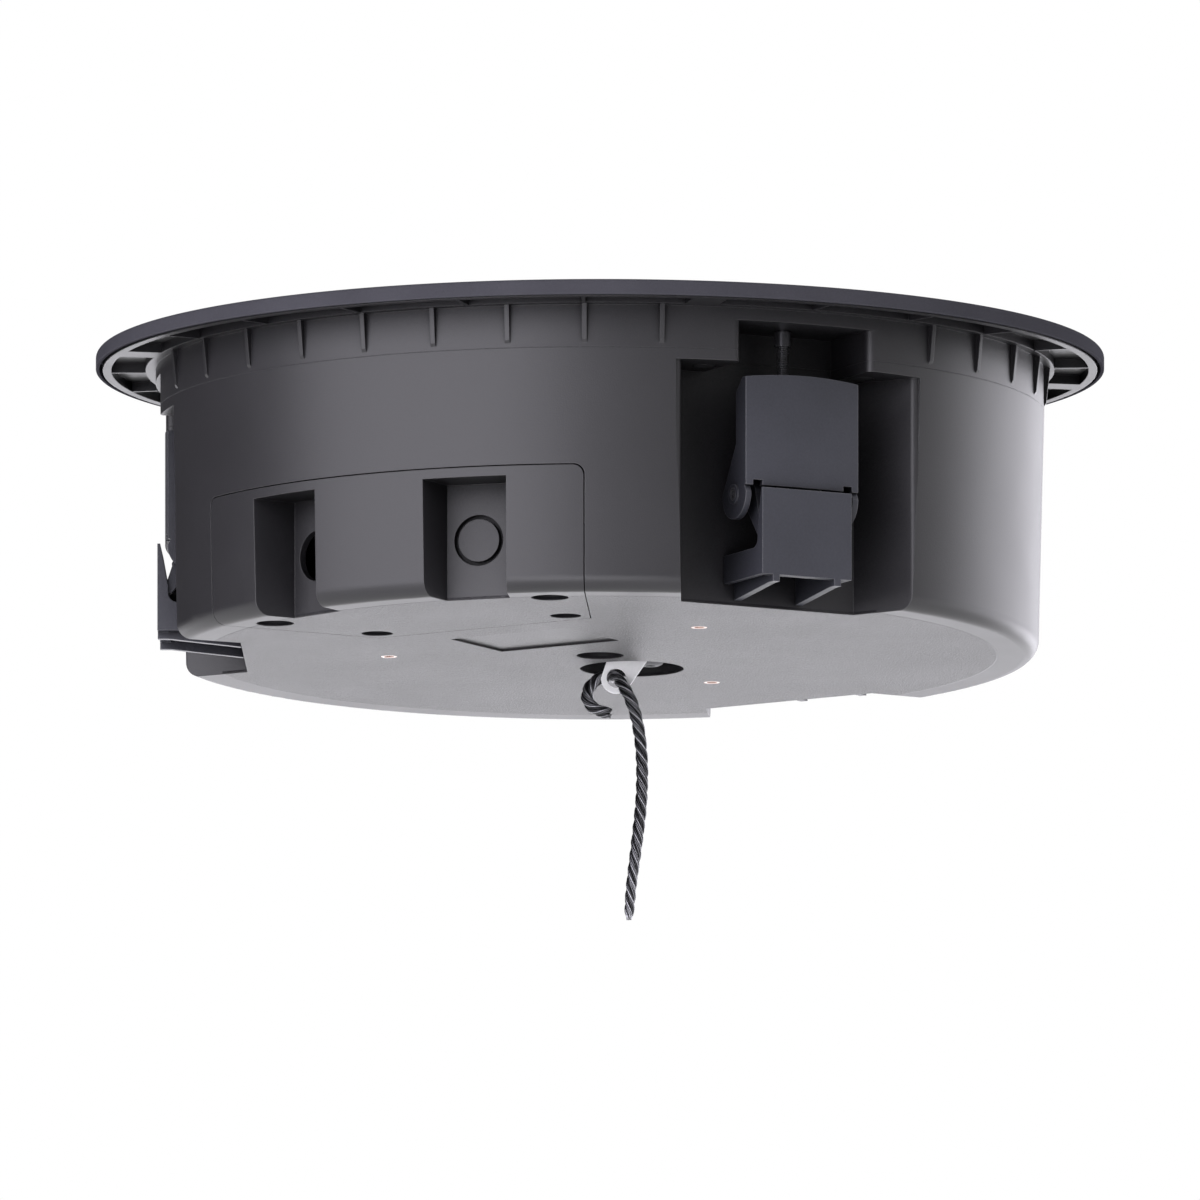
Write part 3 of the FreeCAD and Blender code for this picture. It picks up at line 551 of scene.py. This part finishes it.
# Materials: every surface has grain, tone, gloss and rounded edges of its own
def sanded_share(tree, place):
    """1 on the flat back face inside its smooth margin, 0 elsewhere."""
    margin = 0.0150
    blur = 0.0002
    above = 0.0010
    near = 0.0003
    edge = can_radius - margin
    inside = ramp(tree, measure(tree, "LENGTH", from_axis(tree, place)), edge + blur, edge - blur)
    lowest = ramp(tree, part_of(tree, place, 2), back_face + above, back_face + near)
    return number(tree, "MULTIPLY", inside, lowest)


def straight_out(tree, place, normal):
    """The normal, turned straight away from the can's axis where it nearly is, so that no seams show."""
    alike_range = (0.975, 0.987)
    wall_range = (can_radius - 0.014, can_radius - 0.012)
    flat = from_axis(tree, place)
    tilt = part_of(tree, normal, 2)
    level = number(tree, "SQRT", number(tree, "SUBTRACT", 1.0, number(tree, "MULTIPLY", tilt, tilt)))
    outward = scaled(tree, vector(tree, "NORMALIZE", flat), level)
    rise = put(tree, "CombineXYZ", {2: tilt}).outputs[0]
    straight = vector(tree, "ADD", outward, rise)
    alike = ramp(tree, measure(tree, "DOT_PRODUCT", straight, normal), *alike_range)
    on_wall = ramp(tree, measure(tree, "LENGTH", flat), *wall_range)
    turn = vector(tree, "SUBTRACT", straight, normal)
    part_turn = scaled(tree, turn, number(tree, "MULTIPLY", alike, on_wall))
    return vector(tree, "NORMALIZE", vector(tree, "ADD", normal, part_turn))


def material(name, colour, spread=0.12, rough=(0.4, 0.5), grain=0.0006, bump=0.00003, edge=0.0004,
             edge_light=0.0, metallic=0.0, sanded=0.0, brushed=None, coat=0.0, specular=0.5, sheen=0.0,
             recess=None, crown=None, turned=False):
    """Colour and roughness vary by the given spreads. Sizes, such as grain and edge, are in metres.

    brushed stretches the grain, recess paints shade, darker colour and less gloss, on what lies deep,
    crown paints shade into the rope's grooves and onto every other wire, edge_light paints highlights on
    edges, sanded roughens the back face and turned straightens the normals of the can's wall.
    """
    broad_scale = 38.0
    sand_scale = 1500.0
    noise_range = (0.35, 0.65)
    groove_shade_share = 0.12
    edge_highlight_range = (0.995, 0.9)
    recess_reach = 0.05
    recess_share = 0.15
    made, tree = new_look(name)
    place = put(tree, "TexCoord").outputs["Object"]
    stretched = place
    if brushed:
        stretched = put(tree, "Mapping", {"Vector": place, "Scale": brushed}).outputs[0]
    fine = noise(tree, stretched, 1 / grain, 3.0)
    broad = noise(tree, place, broad_scale, 4.0)
    tone = number(tree, "MULTIPLY", number(tree, "ADD", fine, broad), 0.5)
    dark = tinted(colour, 1 - spread)
    light = tinted(colour, 1 + spread)
    base = mix_colour(tree, ramp(tree, tone, *noise_range), dark, light)
    # Painted shade: where the crown attribute is low, in the grooves and on every other wire, the colour
    # turns dark
    if crown:
        out = put(tree, "Attribute", attribute_name="crown").outputs["Fac"]
        base = mix_colour(tree, ramp(tree, out, *crown), tinted(colour, groove_shade_share), base)
    normal = put(tree, "Bevel", {"Radius": edge}, samples=4).outputs[0]
    # Painted highlight: where the rounded edge normal turns from the flat normal, the colour is lifted
    # lighter
    if edge_light:
        flat = put(tree, "NewGeometry").outputs["Normal"]
        edge_highlight_share = ramp(tree, measure(tree, "DOT_PRODUCT", normal, flat), *edge_highlight_range)
        base = mix_colour(tree, edge_highlight_share, base, tinted(colour, lift=edge_light))
    # Painted shade: ambient occlusion darkens the colour and lowers the gloss in deep places
    if recess:
        open_share = put(tree, "AmbientOcclusion", {"Distance": recess_reach}, samples=4).outputs["AO"]
        painted_shade_keep = ramp(tree, open_share, *recess, recess_share, 1.0)
        base = mix_colour(tree, painted_shade_keep, black, base)
        specular = number(tree, "MULTIPLY", painted_shade_keep, specular)
    if turned:
        normal = straight_out(tree, place, normal)
    height = fine
    if sanded:
        sand = number(tree, "MULTIPLY", noise(tree, place, sand_scale, 2.0), sanded_share(tree, place))
        height = number(tree, "ADD", fine, number(tree, "MULTIPLY", sand, sanded))
    bumps = {"Strength": 1.0, "Distance": bump, "Height": height, "Normal": normal}
    shader = put(tree, "BsdfPrincipled", {
        "Base Color": base, "Roughness": ramp(tree, broad, *noise_range, *rough), "Metallic": metallic,
        "Normal": put(tree, "Bump", bumps).outputs[0], "Coat Weight": coat, "Specular IOR Level": specular,
        "Sheen Weight": sheen})
    put(tree, "OutputMaterial", {"Surface": shader.outputs[0]})
    return made


def shell_looks():
    """Plastics, powder coat, strap and rope, by kind of node."""
    # The recess ranges paint shade in deep places, and edge_light paints highlights on edges
    body = material("moulded_plastic", (0.027, 0.026, 0.029), spread=0.06, rough=(0.40, 0.42), grain=0.0005,
                    edge_light=0.05, sanded=14.0, specular=0.58, recess=(0.18, 0.68), turned=True)
    collar = material("frame_plastic", (0.027, 0.026, 0.029), spread=0.06, rough=(0.40, 0.42), grain=0.0005,
                      specular=0.58, recess=(0.18, 0.68), turned=True)
    clamp = material("clamp_plastic", (0.054, 0.055, 0.068), spread=0.10, rough=(0.36, 0.42), grain=0.0007,
                     edge_light=0.12, recess=(0.3, 0.9))
    powder = material("powder_coat", (0.070, 0.069, 0.080), rough=(0.60, 0.66), grain=0.0004,
                      edge_light=0.03, specular=0.0)
    strap = material("white_strap", (0.93, 0.93, 0.92), spread=0.03, grain=0.0008, edge=0.0003)
    wire = material("rope_wire", (0.42, 0.42, 0.45), spread=0.45, rough=(0.28, 0.38), grain=0.0004,
                    bump=0.00001, edge=0.00005, metallic=0.9, crown=(0.0015, 0.0021))
    return {
        "back_can": body, "terminal_cover": body, "blanking_plug": body, "mounting_frame": collar,
        "clamp_carriage": clamp, "clamp_foot": clamp, "grille": powder, "rope_anchor": strap,
        "safety_rope": wire,
    }


def metal_looks():
    """Screws, pins, springs, inserts and steel plates, by kind of node."""
    steel = material("zinc_steel", (0.55, 0.55, 0.56), rough=(0.28, 0.42), grain=0.0008, metallic=1.0,
                     bump=0.00001)
    screw_grey = material("screw_grey", (0.17, 0.17, 0.18), spread=0.15, rough=(0.45, 0.55), grain=0.0008,
                          metallic=0.4, edge=0.0002, edge_light=0.12)
    brass = material("insert_brass", (0.75, 0.55, 0.48), spread=0.15, rough=(0.25, 0.4), grain=0.0005,
                     metallic=1.0)
    oxide = material("black_oxide_steel", (0.055, 0.055, 0.060), spread=0.2, rough=(0.3, 0.42), metallic=0.7,
                     bump=0.00001, edge=0.0002, edge_light=0.08)
    nickel = material("nickel", (0.66, 0.65, 0.62), spread=0.06, rough=(0.15, 0.25), metallic=1.0,
                      bump=0.000005)
    return {
        "driver_screws": steel, "top_plate": steel, "pole_piece": steel, "tweeter_post": steel,
        "clamp_nut": steel, "clamp_spring": steel, "cover_screws": screw_grey, "anchor_screw": screw_grey,
        "threaded_inserts": brass, "can_screws": oxide, "clamp_screw": oxide, "screw_collar": oxide,
        "pivot_pin": oxide, "grille_magnets": nickel,
    }


def driver_looks():
    """The other pieces of the driver, the tweeter, the crossover and the terminals, by kind of node."""
    paint = material("black_paint", (0.02, 0.02, 0.021), spread=0.2, rough=(0.4, 0.55), edge_light=0.03)
    rubber = material("rubber", (0.022, 0.022, 0.022), spread=0.2, rough=(0.6, 0.75), sheen=0.1)
    paper = material("pressed_fibre", (0.035, 0.035, 0.036), spread=0.3, rough=(0.7, 0.85), grain=0.0009,
                     bump=0.00012, sheen=0.2)
    cloth = material("spider_cloth", (0.42, 0.28, 0.10), spread=0.2, rough=(0.75, 0.9), bump=0.0001)
    copper = material("enamelled_copper", (0.62, 0.25, 0.12), spread=0.2, rough=(0.25, 0.4), metallic=1.0,
                      brushed=(0.1, 0.1, 1.0))
    ferrite = material("ferrite", (0.06, 0.06, 0.064), spread=0.25, rough=(0.55, 0.7), grain=0.0009,
                       bump=0.00008)
    board = material("laminate", (0.03, 0.14, 0.05), spread=0.15, rough=(0.3, 0.4), coat=0.3)
    sleeve = material("capacitor_sleeve", (0.05, 0.055, 0.11), rough=(0.25, 0.35), coat=0.3)
    green = material("terminal_green", (0.05, 0.22, 0.07), spread=0.1, edge_light=0.05)
    return {
        "driver_basket": paint, "tweeter_cup": paint, "driver_gasket": rubber, "surround": rubber,
        "cone": paper, "tweeter_dome": paper, "spider": cloth, "voice_coil": copper,
        "crossover_inductor": copper, "magnet_ring": ferrite, "crossover_board": board,
        "crossover_capacitors": sleeve, "terminal_block": green,
    }


def dress(piece, look):
    piece.data.materials.clear()
    piece.data.materials.append(look)


# Studio: pale floor far below, a bright surround and five soft lights
def floor_look():
    """White to the eye and in reflections, and still takes the object's shadow."""
    glow_share = 0.85
    mottle_scale = 9.0
    pale = tinted(white[:3], 0.84)
    paler = tinted(white[:3], 0.88)
    made, tree = new_look("pale_floor")
    place = put(tree, "TexCoord").outputs["Object"]
    tone = mix_colour(tree, noise(tree, place, mottle_scale, 3.0), pale, paler)
    matt = put(tree, "BsdfDiffuse", {"Color": tone})
    glow = put(tree, "Emission", {"Color": white, "Strength": 1.0})
    path = put(tree, "LightPath")
    either = number(tree, "MAXIMUM", path.outputs["Is Camera Ray"], path.outputs["Is Glossy Ray"])
    share = number(tree, "MULTIPLY", either, glow_share)
    both = put(tree, "MixShader", {0: share, 1: matt.outputs[0], 2: glow.outputs[0]})
    put(tree, "OutputMaterial", {"Surface": both.outputs[0]})
    return made


def make_floor():
    half = 6.0
    level = -0.75
    corners = [(-half, -half, level), (half, -half, level), (half, half, level), (-half, half, level)]
    mesh = bpy.data.meshes.new("floor")
    mesh.from_pydata(corners, [], [(0, 1, 2, 3)])
    floor = bpy.data.objects.new("floor", mesh)
    scene.collection.objects.link(floor)
    dress(floor, floor_look())


def make_lamp(name, right, near, high, width, height, power):
    """A lamp placed to the right, nearer and higher, as the photograph's viewer sees it."""
    lit_place = Vector((0, 0, -0.05))
    tint = (0.94, 0.925, 1.0)
    data = bpy.data.lights.new(name, "AREA")
    data.shape = "RECTANGLE"
    data.size = width
    data.size_y = height
    data.energy = power
    data.color = tint
    lamp = bpy.data.objects.new(name, data)
    lamp.location = right * to_right + near * to_camera + high * up
    aim = lit_place - lamp.location
    lamp.rotation_euler = aim.to_track_quat("-Z", "Y").to_euler()
    lamp.visible_camera = False
    scene.collection.objects.link(lamp)


def make_world():
    """White to the camera, and a soft light for the object that grows from left to right."""
    growth = (-0.5, 0.55)
    dim = 0.02
    bright = 0.46
    world = bpy.data.worlds.new("studio")
    scene.world = world
    world.use_nodes = True
    tree = world.node_tree
    tree.nodes.clear()
    way = put(tree, "TexCoord").outputs["Generated"]
    rightness = measure(tree, "DOT_PRODUCT", way, tuple(to_right))
    strength = ramp(tree, rightness, *growth, dim, bright)
    around = put(tree, "Background", {"Color": white, "Strength": strength})
    seen = put(tree, "Background", {"Color": white, "Strength": 1.0})
    share = put(tree, "LightPath").outputs["Is Camera Ray"]
    both = put(tree, "MixShader", {0: share, 1: around.outputs[0], 2: seen.outputs[0]})
    put(tree, "OutputWorld", {"Surface": both.outputs[0]})


make_camera()
rope = make_rope()
grille = make_grille()
screws = [make_clamp_screw(k) for k in (1, 2, 3)]
springs = [make_spring(k) for k in (1, 2, 3)]
anchor_screw = make_anchor_screw()
spider = make_spider()

looks = {**shell_looks(), **metal_looks(), **driver_looks()}
for name, cad in nodes.items():
    kind = name.rsplit("_", 1)[0] if name[-1].isdigit() else name
    dress(cad, looks[kind])
dress(rope, looks["safety_rope"])
dress(grille, looks["grille"])
dress(anchor_screw, looks["anchor_screw"])
dress(spider, looks["spider"])
for screw in screws:
    dress(screw, looks["clamp_screw"])
for spring in springs:
    dress(spring, looks["clamp_spring"])

make_floor()
make_lamp("soft_right", right=1.0, near=-1.0, high=0.1, width=1.5, height=1.2, power=16.0)
make_lamp("soft_left", right=-1.0, near=1.0, high=0.2, width=2.0, height=1.0, power=20.0)
make_lamp("soft_low", right=-0.3, near=1.3, high=-0.5, width=1.2, height=0.5, power=6.0)
make_lamp("soft_top", right=0.2, near=0.3, high=1.6, width=1.6, height=1.6, power=12.0)
make_lamp("soft_back", right=0.15, near=-2.2, high=-0.42, width=3.0, height=0.6, power=13.0)
make_world()
scene.view_settings.view_transform = "Standard"
